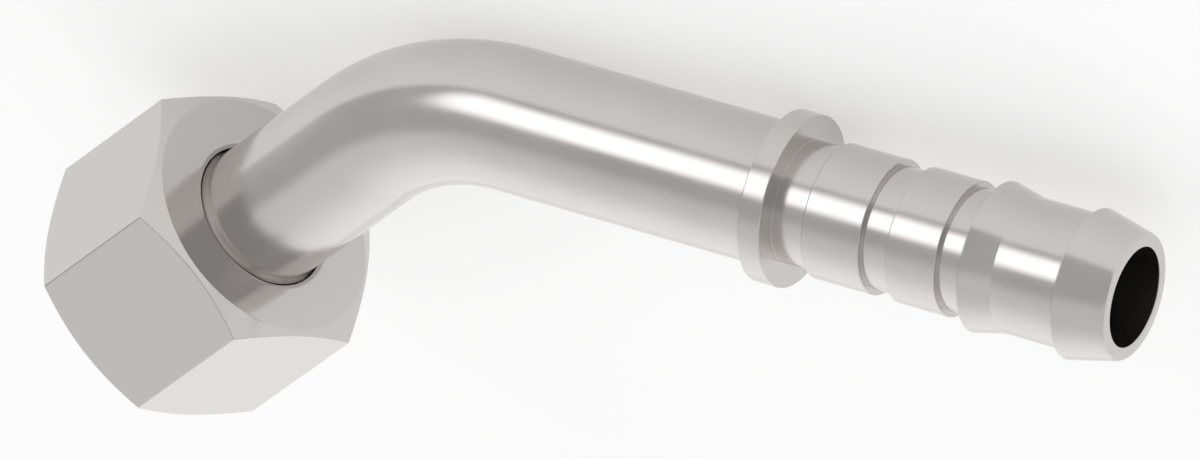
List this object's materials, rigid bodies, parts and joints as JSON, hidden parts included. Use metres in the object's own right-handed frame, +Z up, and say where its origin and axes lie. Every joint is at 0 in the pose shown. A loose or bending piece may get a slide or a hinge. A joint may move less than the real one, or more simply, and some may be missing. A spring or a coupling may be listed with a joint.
{
  "type": "hydraulic hose fitting",
  "caption": "45 degree hose elbow: a hexagonal swivel nut with a female pipe thread, a swept steel tube, and a collared, grooved and barbed tail that a hose is crimped on.",
  "frame": {"origin": "on the nut's axis, in the plane of the nut's open end face, where the thread's mouth is; the table is 19.6 mm below it", "axes": "+Z up; the nut's axis runs from the open face towards +X and 15.8 degrees down to the neck; the tail leans 45 degrees from it, towards -Y. The fitting lies as on a table, on a rear corner of the nut, the outside of the elbow and the collar"},
  "size_m": [0.1127, 0.0726, 0.034],
  "materials": {
    "plated_stem": "bright plated, turned and polished",
    "plated_nut": "bright plated, smooth hexagon",
    "spring_wire": "drawn spring wire"
  },
  "bodies": {
    "stem": {"stem": "plated_stem", "thrust_wire": "spring_wire"},
    "nut": {"nut": "plated_nut"}
  },
  "joints": [
    {"name": "nut_swivel", "type": "hinge", "parent": "stem", "child": "nut", "pos_m": [0.01588, 0, -0.00448], "axis": [0.9624, 0, -0.2718], "continuous": true}
  ]
}
